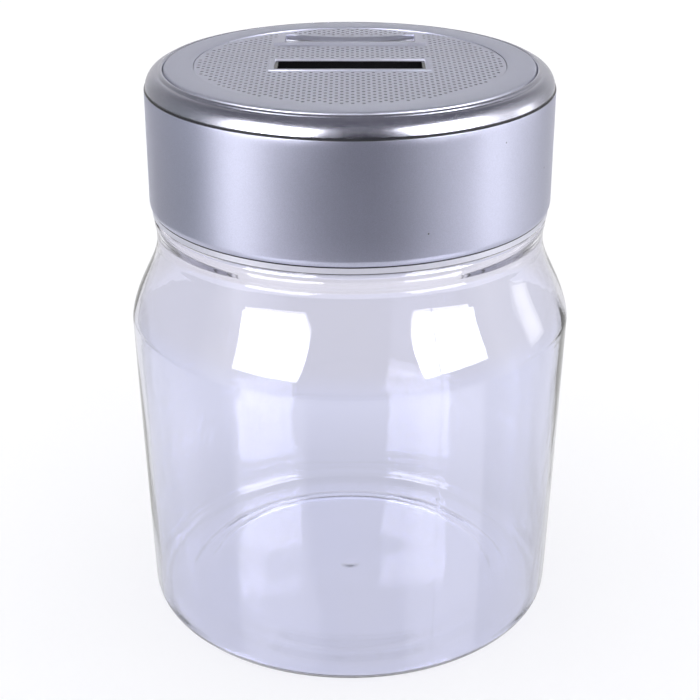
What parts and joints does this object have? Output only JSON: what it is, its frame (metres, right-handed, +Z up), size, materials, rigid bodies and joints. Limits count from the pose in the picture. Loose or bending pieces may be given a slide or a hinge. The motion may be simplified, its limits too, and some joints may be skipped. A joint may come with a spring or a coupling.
{
  "type": "coin bank jar",
  "caption": "Clear screw-neck coin jar with a silver counting lid: coin slot, coin-sensing lever, display and battery box.",
  "frame": {"origin": "centre of the circle that the jar stands on", "axes": "+Z up along the jar's axis; +Y towards the reader of the display; +X along the coin slot"},
  "size_m": [0.12, 0.12, 0.1558],
  "materials": {
    "clear_plastic": "clear blow-moulded plastic with a faint lavender tint",
    "silver_skirt": "satin metallic silver paint on moulded plastic",
    "silver_bezel": "glossy metallic silver paint",
    "silver_plate": "fine satin silver paint",
    "silver_cap": "pale silver moulded plastic",
    "smoked_lens": "smoked clear window",
    "lcd": "grey-green display glass",
    "black_plastic": "black moulded plastic, glossy",
    "grey_plastic": "light grey moulded plastic",
    "lever_plastic": "natural acetal",
    "foam": "soft white foam",
    "board": "green circuit board",
    "epoxy": "black epoxy",
    "zebra_rubber": "dark conductive rubber",
    "steel": "bright plated steel",
    "brass": "bright brass",
    "cell_jacket": "printed cell jacket with a plain band",
    "wire": "wire insulation"
  },
  "bodies": {
    "jar": {"jar": "clear_plastic"},
    "liner": {"seal_ring": "foam"},
    "lid": {"inner_cap": "silver_cap", "skirt_sleeve": "silver_skirt", "bezel_ring": "silver_bezel", "top_plate": "silver_plate", "dotted_disc": "silver_plate", "display_frame": "silver_plate", "display_lens": "smoked_lens", "lcd_glass": "lcd", "zebra_strips": "zebra_rubber", "circuit_board": "board", "chip_blob": "epoxy", "board_screws": "steel", "coin_funnel": "black_plastic", "coin_chute": "grey_plastic", "lever_pin": "steel", "lever_spring": "steel", "sensor_board": "board", "sensor_wires": "wire", "reset_spring": "steel", "reset_switch": "black_plastic", "battery_box": "grey_plastic", "cell_left": "cell_jacket", "cell_right": "cell_jacket", "cell_contacts": "steel", "battery_wires": "wire", "lid_screws": "steel"},
    "coin_lever": {"coin_lever": "lever_plastic", "lever_wiper": "brass"},
    "reset_button": {"reset_button": "black_plastic"},
    "battery_door": {"battery_door": "grey_plastic", "door_screw": "steel"}
  },
  "joints": [
    {"name": "lid_lift", "type": "slide", "parent": "jar", "child": "liner", "axis": [0, 0, 1], "range_m": [0, 0.0226]},
    {"name": "lid_turn", "type": "hinge", "parent": "liner", "child": "lid", "pos_m": [0, 0, 0.13], "axis": [0, 0, 1], "range_deg": [0, 540]},
    {"name": "coin_lever_swing", "type": "hinge", "parent": "lid", "child": "coin_lever", "pos_m": [0.024, -0.0017, 0.1424], "axis": [0, -1, 0], "range_deg": [0, 45], "stiffness_Nm_per_rad": 0.004, "springref_deg": -28.65, "deforming": ["lever_spring"]},
    {"name": "reset_press", "type": "slide", "parent": "lid", "child": "reset_button", "axis": [0, 0, 1], "range_m": [0, 0.0007], "stiffness_N_per_m": 400, "springref_m": -0.001, "deforming": ["reset_spring"]},
    {"name": "battery_door_lift", "type": "slide", "parent": "lid", "child": "battery_door", "axis": [0, 0, -1], "range_m": [0, 0.012]}
  ],
  "couplings": [
    {"joint": "lid_lift", "follows": "lid_turn", "m_per_rad": 0.0023873}
  ]
}
